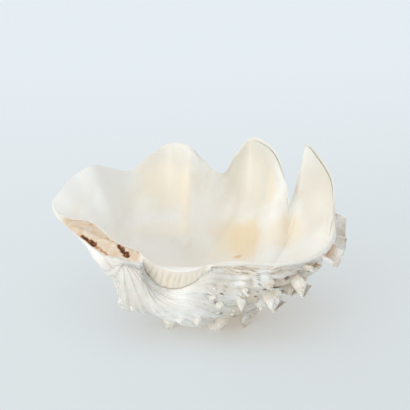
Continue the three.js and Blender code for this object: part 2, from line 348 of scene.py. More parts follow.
def softened(hollow, shares):
    """The hollow's folds rounded off along the rim, a little at the lip and more below."""
    slightly = averaged(hollow, HOLLOW_SOFTENING, bell)
    widely = averaged(hollow, DEEP_SOFTENING, bell)
    depth = shares[:, None, None]
    hollow = hollow + (slightly - hollow) * fade(depth, *SOFTENING_DEPTHS)
    hollow = hollow + (widely - hollow) * fade(depth, *DEEP_SOFTENING_DEPTHS)
    angles = shares * HOLLOW_ANGLE
    inward = inward_at(angles)
    wall = ((hollow - swept(angles)) * inward).sum(-1, keepdims=True)
    least = mixed(0, LEAST_WALL, fade(depth, *LEAST_WALL_DEPTHS))
    return hollow + inward * np.maximum(0, least - wall) * (1 - hinge_side)


def floor_rings(last, before, shares):
    """The floor closes the last ring and smooths it out on its way to the middle."""
    middle = np.array([*FLOOR_MIDDLE, last[:, 2].min() + FLOOR_LIFT])
    growth = last - before
    slope = growth[:, 2] / (np.linalg.norm(growth[:, :2], axis=1) + 1e-6)
    slope = mixed(np.clip(slope, STEEPEST, 0), STEEPEST, hinge_side[:, 0])
    slope = averaged(slope[:, None], DEEP_SOFTENING, bell)[:, 0]
    s = np.asarray(shares, float)[:, None]
    smooth_last = averaged(last, RIM_SMOOTHING, bell)
    start = last + (smooth_last - last) * ease(s * FLOOR_SMOOTHING)[..., None]
    reach = np.linalg.norm((middle - start)[..., :2], axis=-1)
    rings = start + (middle - start) * s[..., None]
    steep = slope * reach * s * (1 - s) ** 2
    rings[..., 2] = mixed(start[..., 2], middle[2], ease(s)) + steep
    return rings, middle


def to_row(places):
    """From the valve's own frame in millimetres to the row frame in metres."""
    places = np.asarray(places, float)
    cos, sin = math.cos(LEAN), math.sin(LEAN)
    x, y, z = places[..., 0], places[..., 1], places[..., 2]
    return (np.stack([x, y * cos - z * sin, y * sin + z * cos], -1) + BEAK) * MM


# Ripples: smooth noise made of waves in many directions, the same on every run

def ripples(places, wavelength, seed, waves=28):
    dice = np.random.default_rng(seed)
    total = np.zeros(places.shape[:-1])
    for _ in range(waves):
        way = dice.normal(size=3)
        way *= TAU / (wavelength * dice.uniform(0.7, 1.4) * np.linalg.norm(way))
        total += np.sin(places @ way + dice.uniform(0, TAU))
    return total / math.sqrt(waves / 2)


def capsule(places, start, end, start_radius, end_radius):
    """How far inside a tapering streak in the hinge plane each point is: 1 inside, 0 outside."""
    start, end = np.array(start, float), np.array(end, float)
    way = end - start
    flat = places[..., :2]
    share = np.clip(((flat - start) @ way) / (way @ way), 0, 1)
    away = np.linalg.norm(flat - (start + share[..., None] * way), axis=-1)
    return 1 - away / mixed(start_radius, end_radius, share)


# Hinge plate: its sockets and fine cracks, each with start, end, a radius at each, strength
SOCKETS = [
    ((-37, 34), (-26, 24), 1.3, 2.7, 1.0),
    ((-26, 24), (-10, 9), 1.7, 0.3, 0.5),
    ((-4, 20), (4, 10), 1.5, 2.5, 0.9),
]
CRACKS = [
    ((-48, 55), (-39, 55.5), 0.7, 0.4, 0.35),
    ((-33, 54), (-28, 47), 0.6, 0.4, 0.3),
    ((11, 17), (15, 10), 0.9, 0.7, 1.0),
    ((15, 10), (20, 4), 0.7, 0.6, 0.5),
    ((-15, 31), (-8, 25), 0.6, 0.4, 0.35),
]

PLATE_RIDGE = ((-44, 45), (6, 14), 3.5, 2.5)
PLATE_RIDGE_HEIGHT = 1.4
SOCKET_DEPTH = 1.3
CRACK_DEPTH = 0.6

# Plicae of the gape's border, with the shares of its width where the crevice lies
PLICAE_STEP = 5.3
PLICA_HEIGHT = 0.7
PLICA_TILT = (7.0, 1.0)
PLICAE_SWAY = 0.5
GROOVES_FADE_X = (45, 70)
CREVICE_SPAN = (0.84, 0.97)
BORDER_STEP = 1.2
BORDER_WIDTH = (5.0, 9.0)
PLATE_WIDTH = (4.0, 9.0)

# The lip's round edge
LIP_SWELL = 0.16
LIP_SWELL_WIDTH = 4.0
LIP_TURN = 1.6

# Growth of the fine sculpture outside, with angles in degrees
RIBLETS = 38
FINE_RIBLETS = 114
RIBLET_SHARE = 0.13
RIBLET_MOST = 0.85
RIBLET_AT_LIP = 0.35
FINE_RIBLET_MOST = 0.6
RIBLET_ROUNDING = 0.8
BACK_RIBLETS = 1.8
BROAD_SWAY = 0.003
SMALL_SWAY = 0.0009
GROWTH_LINE_HEIGHT = 0.16
ROUGH_X = (60.0, 130.0)
LUMP_HEIGHT = 0.45
GRAIN_HEIGHT = 0.22
LEDGE_STEP = 8.5
LEDGE_SWAY = 0.45
LEDGE_TURNS = 3
LEDGE_HEIGHT = 1.3
CREVICE_STAIN = 0.55
BEAK_RIDGES = 19
BEAK_RIDGE_HEIGHT = 0.45
BEAK_RIDGE_DEGREES = (55, 95)
DEEPEST_CUT = (0.3, 2.5)
VALVE_CENTRE = np.array([62.0, 60.0, -20.0])
SHARE_STEP = 0.004

# Growth waves and muscle scar in the hollow
WAVE_HEIGHT = 0.12
WAVES_DOWN = 60
SCAR_CENTRE = (48.0, 86.0, -48.0)
SCAR_RADII = (16, 14, 12)
SCAR_WRINKLE = 0.5
SCAR_DEPTH = 0.4

# Bored pits: share of the way round, growth angle in degrees, radius and depth
PITS = [
    (0.571, 111, 1.5, 2.0),
    (0.525, 112, 1.4, 1.8),
    (0.542, 104, 2.2, 2.0),
    (0.592, 103, 1.0, 1.4),
    (0.641, 52, 2.4, 2.4),
    (0.654, 39, 1.6, 1.8),
    (0.623, 62, 1.5, 1.6),
    (0.62, 72, 1.2, 1.5),
    (0.60, 80, 1.3, 1.5),
    (0.58, 88, 1.2, 1.4),
    (0.50, 96, 1.6, 1.6),
    (0.47, 60, 1.5, 1.6),
    (0.30, 70, 1.4, 1.5),
    (0.12, 64, 1.2, 1.2),
]


def face_point(share, angle):
    """A point of the outer face at a share of the way round and a growth angle in radians."""
    station = share * STATIONS
    low = int(math.floor(station))
    rim = []
    for at in (low % STATIONS, (low + 1) % STATIONS):
        folds = folds_at(angle)
        rim.append(settled(grown(smooth_rim[at] * (1 - folds) + rim_edge[at] * folds, angle)))
    return rim[0] + (rim[1] - rim[0]) * (station - low)


def face_normal(share, angle):
    """The outer face's way out at a share of the way round and a growth angle in radians."""
    low_angle = max(0.0, angle - ANGLE_STEP)
    growth = face_point(share, low_angle) - face_point(share, angle + ANGLE_STEP)
    across = face_point(share + SHARE_STEP, angle) - face_point(share - SHARE_STEP, angle)
    return unit(np.cross(growth, across))


def grid_normals(grid):
    across = np.roll(grid, -1, axis=1) - np.roll(grid, 1, axis=1)
    growth = np.gradient(grid, axis=0)
    return unit(np.cross(growth, across))


class Valve:
    """The finely grown shell: rings from the floor of the hollow over the lip to the beak."""

    def __init__(self):
        self.masks = {}
        hollow_shares = np.linspace(0, 1, HOLLOW_ROWS) ** HOLLOW_SPACING
        hollow = softened(hollow_rings(hollow_shares), hollow_shares)
        floor_shares = np.arange(1, FLOOR_ROWS + 1) / (FLOOR_ROWS + 1)
        floor, self.middle = floor_rings(hollow[-1], hollow[-3], floor_shares)
        angles = np.linspace(0, 1, OUTER_ROWS) ** OUTER_SPACING * BEAK_ANGLE
        angles = angles[:-1]
        outer = settled(swept(angles))
        shares = np.arange(1, LIP_ROWS + 1) / (LIP_ROWS + 1)
        lip = self.lip_rows(outer, shares)
        outer, outer_masks = self.sculpted(outer, angles)
        lip, lip_masks = self.plates(lip, shares)
        hollow = self.smooth_hollow(hollow, hollow_shares)
        self.rings = np.concatenate([floor[::-1], hollow[::-1], lip, outer])
        rows_inside = FLOOR_ROWS + HOLLOW_ROWS
        outside = [0.0] * len(angles)
        crown = list(np.sin(shares * math.pi) ** 0.5)
        ages_inside = [1.0] * FLOOR_ROWS + list(hollow_shares[::-1])
        self.fill("inside", [1.0] * rows_inside + list(1 - ease(shares * LIP_TURN)) + outside)
        self.fill("lip", [0.0] * rows_inside + crown + outside)
        self.fill("age", ages_inside + [0.0] * LIP_ROWS + list(angles / BEAK_ANGLE))
        for name in ("ridge", "pit", "rough", "stain"):
            self.join(name, rows_inside, np.zeros((LIP_ROWS, STATIONS)), outer_masks[name])
        for name in ("plate", "gape", "dark", "groove", "crevice"):
            self.join(name, rows_inside, lip_masks[name], np.zeros((len(angles), STATIONS)))
        self.tip = settled(np.zeros(3))

    def fill(self, name, rows):
        """A mask that is the same all the way round each row."""
        self.masks[name] = np.repeat(np.asarray(rows, float)[:, None], STATIONS, axis=1)

    def join(self, name, rows_inside, lip, outer):
        """A mask that is 0 inside, with its own rows on the lip and the outer face."""
        self.masks[name] = np.concatenate([np.zeros((rows_inside, STATIONS)), lip, outer])

    def lip_rows(self, outer, shares):
        """Rows across the lip, the hinge plate and the gape's border, rounded at the edge."""
        s = shares[:, None, None]
        outward = unit(outer[0] - outer[1])
        width = np.linalg.norm(outer[0] - inner_edge, axis=1, keepdims=True)
        swell = np.minimum(width, LIP_SWELL_WIDTH) * LIP_SWELL
        rows = inner_edge * (1 - s) + outer[0] * s
        up = np.array([0.0, 0.0, 1.0])
        edge_way = unit(outward * (1 - hinge_side) + up * hinge_side)
        return rows + edge_way * swell * np.sin(s * math.pi)

    def plates(self, lip, shares):
        """Plicae on the gape's border, and the sockets and cracks of the hinge plate."""
        s = shares[:, None]
        x = lip[..., 0]
        width = np.linalg.norm(lip[-1] - lip[0], axis=1)
        gape = fade(x, GAPE_FROM - 1, GAPE_FROM + 3) * (1 - fade(x, GAPE_TO - 6, GAPE_TO))
        gape = gape * fade(width, *BORDER_WIDTH)[None, :] * hinge_side[:, 0]
        plate = (1 - fade(x, GAPE_FROM - 2, GAPE_FROM + 2)) * fade(width, *PLATE_WIDTH)[None, :]
        plate = plate * (rim_edge[:, 0] < GAPE_FROM + 2)
        body = np.sin(math.pi * np.clip(s, 0, 1)) ** 0.5
        tilt = mixed(*PLICA_TILT, fade(x, GAPE_FROM, GAPE_TO)) * (s - 0.5)
        sway = PLICAE_SWAY * ripples(lip, wavelength=12.0, seed=5)
        wave = 0.5 + 0.5 * np.cos(TAU * (x + tilt + sway) / PLICAE_STEP)
        lip = lip.copy()
        lip[..., 1] -= PLICA_HEIGHT * gape * body * wave
        lip[..., 1] += BORDER_STEP * gape * fade(s, 0.8, 1.0)
        dark = np.zeros_like(x)
        groove = gape * (1 - wave) * body * (1 - 0.6 * fade(x, *GROOVES_FADE_X))
        patchy = np.clip(0.55 + 0.4 * ripples(lip, wavelength=14.0, seed=6), 0, 1)
        crevice = gape * fade(s, *CREVICE_SPAN) * patchy
        for start, end, start_radius, end_radius, strength in SOCKETS:
            inside = capsule(lip, start, end, start_radius, end_radius)
            inside = inside + 0.15 * ripples(lip, wavelength=4.0, seed=3)
            lip[..., 2] -= SOCKET_DEPTH * strength * ease(inside * 1.6) * plate
            dark = np.maximum(dark, strength * fade(inside, -0.15, 0.25) * plate)
        for start, end, start_radius, end_radius, strength in CRACKS:
            inside = capsule(lip, start, end, start_radius, end_radius)
            inside = inside + 0.25 * ripples(lip, wavelength=3.0, seed=4)
            lip[..., 2] -= CRACK_DEPTH * ease(inside) * plate
            ground = np.maximum(plate, gape * (s < 0.3))
            dark = np.maximum(dark, strength * fade(inside, -0.1, 0.4) * ground)
        lip[..., 2] += PLATE_RIDGE_HEIGHT * ease(capsule(lip, *PLATE_RIDGE)) * plate
        masks = {"plate": plate * np.ones_like(x), "gape": gape * np.ones_like(x)}
        masks.update(dark=dark, groove=groove, crevice=crevice)
        return lip, masks

    def sculpted(self, outer, angles):
        """Riblets, growth rings, rough places and pits on the outer face."""
        degrees = np.degrees(angles)[:, None]
        u = STATION[None, :]
        across = np.linalg.norm(np.roll(outer, -1, axis=1) - np.roll(outer, 1, axis=1), axis=-1)
        around = across * STATIONS / 2
        broad_sway = BROAD_SWAY * ripples(outer, wavelength=55.0, seed=11)
        sway = broad_sway + SMALL_SWAY * ripples(outer, wavelength=16.0, seed=17)
        uneven = np.clip(0.75 + 0.3 * ripples(outer, wavelength=24.0, seed=16), 0.2, 1.3)
        coarse = 0.5 + 0.5 * np.cos(TAU * RIBLETS * (u + sway))
        fine = 0.5 + 0.5 * np.cos(TAU * FINE_RIBLETS * (u + sway))
        coarse_high = np.clip(RIBLET_SHARE * around / RIBLETS, 0, RIBLET_MOST)
        coarse_high = coarse_high * (RIBLET_AT_LIP + (1 - RIBLET_AT_LIP) * fade(degrees, 5, 40))
        coarse_high = coarse_high * mixed(BACK_RIBLETS, 1.0, hinge_side[:, 0])
        fine_high = np.clip(RIBLET_SHARE * around / FINE_RIBLETS, 0, FINE_RIBLET_MOST)
        fine_high = fine_high * (1 - 0.85 * fade(degrees, 30, 90))
        ridge = coarse ** RIBLET_ROUNDING
        height = coarse_high * ridge * (1 - 0.6 * fade(degrees, 60, 105))
        height = uneven * (height + fine_high * fine ** RIBLET_ROUNDING)
        lines = np.sin(degrees * 1.7 + 2.2 * ripples(outer, wavelength=60.0, seed=12))
        lines = lines + 0.6 * np.sin(degrees * 4.3)
        height = height + GROWTH_LINE_HEIGHT * lines * fade(shrink(angles)[:, None], 0.05, 0.4)
        rough = fade(outer[..., 0], *ROUGH_X) * fade(degrees, 10, 30)
        rough = rough * (1 - 0.5 * fade(degrees, 95, 125))
        rough = np.clip(rough + 0.35 * fade(degrees, 20, 60), 0, 1)
        height = height + LUMP_HEIGHT * rough * ripples(outer, wavelength=9.0, seed=13)
        height = height + GRAIN_HEIGHT * rough * ripples(outer, wavelength=4.5, seed=14)
        ledge = degrees / LEDGE_STEP + LEDGE_SWAY * ripples(outer, wavelength=26.0, seed=18)
        ledge = (ledge + LEDGE_TURNS * u) % 1.0
        broken = np.clip(0.6 + 0.7 * ripples(outer, wavelength=20.0, seed=19), 0, 1)
        broken = rough * broken * fade(degrees, 6, 16)
        height = height + LEDGE_HEIGHT * broken * (1 - ledge) * fade(ledge, 0, 0.06)
        beak_ridge = BEAK_RIDGE_HEIGHT * np.cos(TAU * BEAK_RIDGES * (u + sway))
        height = height + beak_ridge * fade(degrees, *BEAK_RIDGE_DEGREES)
        pit = np.clip(0.5 + 0.8 * ripples(outer, wavelength=9.0, seed=20), 0, 1)
        pit = CREVICE_STAIN * broken * fade(ledge, 0.78, 0.98) * pit
        for share, angle, radius, deep in PITS:
            away = np.linalg.norm(outer - face_point(share, math.radians(angle)), axis=-1)
            hole = fade(-away, -radius * 1.25, -radius * 0.3)
            height = height - deep * hole
            pit = np.maximum(pit, hole)
        height = np.maximum(height, -mixed(*DEEPEST_CUT, fade(degrees, 5, 40)))
        keep = fade(degrees, 0, 3) * np.ones_like(height)
        stain = np.clip(0.5 + 0.5 * ripples(outer, wavelength=26.0, seed=15), 0, 1)
        grooves = (1 - ridge) * uneven * fade(degrees, 3, 12)
        masks = {"ridge": 1 - np.clip(grooves, 0, 1), "pit": pit, "rough": rough, "stain": stain}
        normals = grid_normals(outer)
        facing = np.sign(np.sum(normals * (outer - VALVE_CENTRE), axis=-1, keepdims=True).sum())
        return outer + normals * facing * (height * keep)[..., None], masks

    def smooth_hollow(self, hollow, shares):
        """Faint growth waves and the shallow muscle scar in the hollow."""
        sway = 2.0 * ripples(hollow, wavelength=70.0, seed=21)
        waves = WAVE_HEIGHT * np.sin(shares[:, None] * WAVES_DOWN + sway)
        scar_away = np.linalg.norm((hollow - np.array(SCAR_CENTRE)) / np.array(SCAR_RADII), axis=-1)
        scar = 1 - fade(scar_away, 0.6, 1.2)
        wrinkles = SCAR_WRINKLE * ripples(hollow, wavelength=8.0, seed=22)
        height = waves * fade(shares, 0.05, 0.2)[:, None] + scar * (wrinkles - SCAR_DEPTH)
        hollow = hollow.copy()
        hollow[..., 2] += height
        return hollow


def mesh_object(name, places, faces, masks, material):
    mesh = bpy.data.meshes.new(name)
    mesh.from_pydata([tuple(p) for p in places], [], faces)
    for mask, values in masks.items():
        layer = mesh.attributes.new(mask, "FLOAT", "POINT")
        layer.data.foreach_set("value", np.asarray(values, np.float32))
    mesh.polygons.foreach_set("use_smooth", [True] * len(mesh.polygons))
    mesh.materials.append(material)
    mesh.update()
    mesh.set_sharp_from_angle(angle=SHARP)
    piece = bpy.data.objects.new(name, mesh)
    bpy.context.scene.collection.objects.link(piece)
    return piece


def net_faces(rows, around):
    """Quads between rings, with a fan to one point before the first and one after the last."""
    firsts = 1 + np.arange(rows - 1)[:, None] * around
    a = (firsts + np.arange(around)[None, :]).ravel()
    b = (firsts + (np.arange(around) + 1)[None, :] % around).ravel()
    quads = np.stack([a, b, b + around, a + around], 1)
    last = 1 + (rows - 1) * around
    end = 1 + rows * around
    faces = [tuple(int(v) for v in quad) for quad in quads]
    faces += [(0, 1 + (k + 1) % around, 1 + k) for k in range(around)]
    faces += [(end, last + k, last + (k + 1) % around) for k in range(around)]
    return faces


# Shader maths: a socket that works in expressions

class Shade:
    """One output socket of a material's nodes, for use in Python expressions."""

    def __init__(self, tree, socket):
        self.tree = tree
        self.socket = socket

    def math(self, operation, *others):
        return self.tree.node("ShaderNodeMath", {"operation": operation}, self, *others)

    def __add__(self, other):
        return self.math("ADD", other)

    def __radd__(self, other):
        return self.math("ADD", other)

    def __sub__(self, other):
        return self.math("SUBTRACT", other)

    def __rsub__(self, other):
        return self.tree.node("ShaderNodeMath", {"operation": "SUBTRACT"}, other, self)

    def __mul__(self, other):
        return self.math("MULTIPLY", other)

    def __rmul__(self, other):
        return self.math("MULTIPLY", other)

    def clamped(self):
        return self.tree.node("ShaderNodeClamp", {}, self)

    def larger(self, other):
        return self.math("MAXIMUM", other)

    def step(self, start, end):
        """Smoothly from 0 at start to 1 at end."""
        settings = {"interpolation_type": "SMOOTHSTEP"}
        return self.tree.node("ShaderNodeMapRange", settings, self, start, end, 0.0, 1.0)


class Finish:
    """A material, and the nodes that it is mixed from."""

    def __init__(self, name):
        self.material = bpy.data.materials.new(name)
        self.material.use_nodes = True
        self.tree = self.material.node_tree
        self.tree.nodes.clear()
        self.shader = self.tree.nodes.new("ShaderNodeBsdfPrincipled")
        output = self.tree.nodes.new("ShaderNodeOutputMaterial")
        self.tree.links.new(self.shader.outputs[0], output.inputs[0])

    def put(self, target, value):
        if isinstance(value, Shade):
            self.tree.links.new(value.socket, target)
        else:
            target.default_value = value

    def node(self, kind, settings, *values, out=0, **named):
        """Any node: its type, its settings, and the values or links of its sockets."""
        node = self.tree.nodes.new(kind)
        for key, value in settings.items():
            setattr(node, key, value)
        for socket, value in zip(node.inputs, values):
            self.put(socket, value)
        for key, value in named.items():
            self.put(node.inputs[key.replace("_", " ")], value)
        return Shade(self, node.outputs[out])

    def mask(self, name):
        settings = {"attribute_type": "GEOMETRY", "attribute_name": name}
        return self.node("ShaderNodeAttribute", settings, out=2)

    def place(self):
        return self.node("ShaderNodeTexCoord", {}, out=3)

    def noise(self, scale, detail, roughness=0.55, warp=0.0):
        return self.node(
            "ShaderNodeTexNoise", {}, Vector=self.place(),
            Scale=scale, Detail=detail, Roughness=roughness, Distortion=warp,
        )

    def mix(self, share, first, second):
        """Colours mixed by a share."""
        node = self.tree.nodes.new("ShaderNodeMix")
        node.data_type = "RGBA"
        self.put(node.inputs[0], share)
        self.put(node.inputs[6], first)
        self.put(node.inputs[7], second)
        return Shade(self, node.outputs[2])

    def patch(self, centre, radii, warp, soft=0.5):
        """A soft blotch round a point of the valve's frame, with the given radii in millimetres."""
        centre = tuple(to_row(centre))
        away = self.node("ShaderNodeVectorMath", {"operation": "SUBTRACT"}, self.place(), centre)
        sizes = tuple(1 / (MM * r) for r in radii)
        scaled = self.node("ShaderNodeVectorMath", {"operation": "MULTIPLY"}, away, sizes)
        length = self.node("ShaderNodeVectorMath", {"operation": "LENGTH"}, scaled, out=1)
        return 1 - (length + warp).step(1 - soft, 1 + soft)

    def bump(self, height, strength, distance):
        return self.node(
            "ShaderNodeBump", {}, Strength=strength, Distance=distance, Height=height,
        )

    def set(self, **values):
        for key, value in values.items():
            self.put(self.shader.inputs[key.replace("_", " ")], value)


def paint(hex_colour):
    """A linear colour from a hex one."""
    parts = [int(hex_colour[k:k + 2], 16) / 255 for k in (1, 3, 5)]
    linear = [p / 12.92 if p <= 0.04045 else ((p + 0.055) / 1.055) ** 2.4 for p in parts]
    return (*linear, 1.0)


CHALK = paint("#f7f6f2")
CHALK_GREY = paint("#dcd9d2")
GROOVE_GREY = paint("#cac3b6")
BEIGE = paint("#e8ddca")
ENCRUSTED = paint("#dacfbd")
BORE_BROWN = paint("#5d4330")
RUST = paint("#b98a58")
SPECK_BROWN = paint("#9a8468")
IVORY = paint("#f4f2ec")
CREAM = paint("#f2ede0")
# Darker ivory for the lobes: partly their own cream tone, partly painted shade that evens out the light
# the lobes catch
LOBE_IVORY_AND_PAINTED_SHADE = paint("#e0dbcd")
LEAF_CREAM = paint("#ebe6dc")
PEACH = paint("#f3e7cf")
ORANGE = paint("#f2d7a8")
APRICOT = paint("#e3a666")
PORCELAIN = paint("#f3f4f1")
SCAR_GREY = paint("#e6e2da")
LIP_CREAM = paint("#ece8de")
PLATE_PEACH = paint("#d8be9d")
PLATE_CREAM = paint("#e0d5c4")
LIGAMENT = paint("#4b2b15")
LIGAMENT_EDGE = paint("#b5702f")
PLICA_CREAM = paint("#e7e0d1")
PLICA_TAN = paint("#cdbda2")
CREVICE_BROWN = paint("#8a6c4d")


def outside_colour(finish, ridge, rough, stain, pit):
    """Chalky white riblets with grey grooves, beige growth and brown crevices at the front."""
    broad = finish.noise(scale=22.0, detail=4.0)
    speck = finish.noise(scale=160.0, detail=4.0, roughness=0.65)
    chalk = finish.mix(broad.step(0.35, 0.7), CHALK, CHALK_GREY)
    chalk = finish.mix((1 - ridge).step(0.35, 1.0) * (0.12 + rough * 0.5), chalk, GROOVE_GREY)
    growth = finish.mix((broad + speck * 0.6).step(0.6, 1.05), BEIGE, ENCRUSTED)
    colour = finish.mix((rough * (0.25 + stain * 0.75)).step(0.25, 0.95) * 0.85, chalk, growth)
    rust = (speck * rough).step(0.5, 0.72) * (1 - ridge).step(0.3, 0.9)
    colour = finish.mix(rust * 0.55, colour, RUST)
    return finish.mix((pit * 1.2).clamped(), colour, BORE_BROWN)


# The blotches of the hollow: centre and radii in the valve's frame, strength, colour
BLOTCHES = [
    # The first three blotches darken the lobes: partly their cream tone, partly painted shade where the
    # lobes catch more light than the hollow
    ((36, 138, -8), (30, 34, 34), 0.8, LOBE_IVORY_AND_PAINTED_SHADE),
    ((115, 140, -8), (30, 36, 36), 0.9, LOBE_IVORY_AND_PAINTED_SHADE),
    ((178, 98, 2), (26, 34, 36), 0.8, LOBE_IVORY_AND_PAINTED_SHADE),
    ((106, 98, -60), (34, 24, 18), 0.8, PEACH),
    ((111, 98, -59), (20, 17, 15), 0.5, ORANGE),
    ((146, 84, -40), (18, 12, 14), 0.6, PEACH),
    ((152, 92, -34), (9, 9, 10), 0.5, PEACH),
    ((115, 140, -16), (14, 30, 22), 0.5, CREAM),
    ((34, 134, -18), (20, 26, 18), 0.45, PEACH),
    ((53, 118, -20), (5, 26, 28), 0.6, PEACH),
    ((133, 117, -8), (4, 10, 18), 0.6, PEACH),
    ((180, 92, -10), (12, 10, 14), 0.45, CREAM),
    ((30, 96, -46), (24, 8, 8), 0.4, PEACH),
    ((104, 82, -67), (5, 1.6, 2.4), 0.55, APRICOT),
    ((111, 80, -66), (3, 1.4, 2), 0.45, APRICOT),
]
# Pale spots: the first three are painted light that brightens lobe 1's flank and the left of the hollow
# where the folds fall into shade; the rest are pale patches of the shell
PALE_SPOTS_AND_PAINTED_LIGHT = [
    ((-28, 112, 0), (24, 26, 26), 0.4),
    ((-14, 118, -6), (16, 26, 30), 0.9),
    ((-30, 84, -18), (24, 22, 20), 0.6),
    ((139, 69, -51), (10, 7, 8), 0.7),
    ((154, 100, -18), (6, 10, 10), 0.6),
    ((71, 90, -55), (15, 8, 9), 0.6),
]
GREY_PATCH = ((35, 76, -56), (34, 22, 18))
WRINKLE_RADII = (15, 12, 12)


def inside_colour(finish, age):
    """Porcelain white near the lip, ivory below, with soft peach blotches, darker ivory on the lobes
    that is partly painted shade, and pale spots that are partly painted light.
    """
    cloud = finish.noise(scale=16.0, detail=5.0, roughness=0.6)
    fine = finish.noise(scale=70.0, detail=4.0, roughness=0.6)
    colour = finish.mix(cloud.step(0.35, 0.68), IVORY, CREAM)
    edge = (1 - age.step(0.02, 0.16)) * 0.8
    colour = finish.mix(edge, colour, PORCELAIN)
    warp = (cloud - 0.5) * 1.1 + (fine - 0.5) * 0.8
    # Blotches, with the darker ivory on the lobes partly painted shade
    for centre, radii, strength, shade in BLOTCHES:
        colour = finish.mix(finish.patch(centre, radii, warp) * strength, colour, shade)
    # Pale spots, partly painted light over the shaded folds on the left
    for centre, radii, strength in PALE_SPOTS_AND_PAINTED_LIGHT:
        colour = finish.mix(finish.patch(centre, radii, warp) * strength, colour, PORCELAIN)
    grey = finish.patch(*GREY_PATCH, warp) * 0.5
    return finish.mix(grey, colour, SCAR_GREY)


def plate_colour(finish, dark, groove, crevice, gape):
    """Peach cream hinge plate with dark sockets, and the gape's cream plicae."""
    streak = finish.noise(scale=60.0, detail=4.0, roughness=0.6, warp=1.5)
    plate = finish.mix(streak.step(0.35, 0.7), PLATE_CREAM, PLATE_PEACH)
    plate = finish.mix(dark.step(0.02, 0.45) * 0.75, plate, LIGAMENT_EDGE)
    crumb = finish.noise(scale=330.0, detail=3.0, roughness=0.6)
    ligament = finish.mix(crumb.step(0.5, 0.68) * 0.7, LIGAMENT, LIGAMENT_EDGE)
    plate = finish.mix(dark.step(0.45, 0.8), plate, ligament)
    plicae = finish.mix(groove.step(0.25, 0.95) * 0.45, PLICA_CREAM, PLICA_TAN)
    plicae = finish.mix(crevice * 0.85, plicae, CREVICE_BROWN)
    return finish.mix(gape, plate, plicae)


def shell_finish():
    """Chalk outside, satin porcelain inside, a cream lip, and the plate and gape's border."""
    finish = Finish("shell")
    inside = finish.mask("inside")
    age = finish.mask("age")
    ridge = finish.mask("ridge")
    rough = finish.mask("rough")
    stain = finish.mask("stain")
    pit = finish.mask("pit")
    plate = finish.mask("plate")
    gape = finish.mask("gape")
    dark = finish.mask("dark")
    groove = finish.mask("groove")
    crevice = finish.mask("crevice")
    lip = finish.mask("lip")
    colour = outside_colour(finish, ridge, rough, stain, pit)
    colour = finish.mix(inside, colour, inside_colour(finish, age))
    colour = finish.mix((lip * 1.3).clamped() * (1 - plate) * (1 - gape), colour, LIP_CREAM)
    covered = plate.larger(gape).clamped()
    colour = finish.mix(covered, colour, plate_colour(finish, dark, groove, crevice, gape))
    grain = finish.noise(scale=420.0, detail=5.0, roughness=0.65)
    lumps = finish.noise(scale=120.0, detail=4.0, roughness=0.6)
    outside_height = grain * 0.6 + lumps
    wrinkles = finish.noise(scale=190.0, detail=2.0, roughness=0.5, warp=1.6)
    wrinkles = wrinkles * finish.patch(SCAR_CENTRE, WRINKLE_RADII, 0.0) * inside
    height = outside_height * (1 - inside * 0.92) + wrinkles * 1.6
    normal = finish.bump(height, strength=0.35, distance=0.8 * MM)
    gloss = inside * (1 - covered)
    roughness = 0.84 - gloss * 0.36 + (lumps - 0.5) * 0.12 - dark * 0.15
    finish.set(Base_Color=colour, Roughness=roughness, Normal=normal)
    finish.set(Subsurface_Weight=0.08, Subsurface_Scale=0.006, Coat_Roughness=0.25)
    finish.set(Coat_Weight=gloss * 0.1)
    return finish.material


def leaf_finish():
    """Chalky scales, crusted and specked with brown where they are grimy."""
    finish = Finish("leaf_scale")
    height = finish.mask("height")
    front = finish.mask("front")
    grime = finish.mask("grime")
    streak = finish.noise(scale=90.0, detail=4.0, roughness=0.6, warp=0.6)
    speck = finish.noise(scale=240.0, detail=4.0, roughness=0.65)
    colour = finish.mix(streak.step(0.35, 0.7), CHALK, LEAF_CREAM)
    colour = finish.mix(grime * (streak + speck * 0.5).step(0.45, 0.95) * 0.8, colour, ENCRUSTED)
    colour = finish.mix(front * (1 - height).step(0.1, 0.9) * grime * 0.9, colour, RUST)
    colour = finish.mix(speck.step(0.56, 0.7) * grime * 0.5, colour, SPECK_BROWN)
    normal = finish.bump(speck + streak, strength=0.7, distance=1.0 * MM)
    finish.set(Base_Color=colour, Roughness=0.85 - speck * 0.1, Normal=normal)
    finish.set(Subsurface_Weight=0.08, Subsurface_Scale=0.005)
    return finish.material


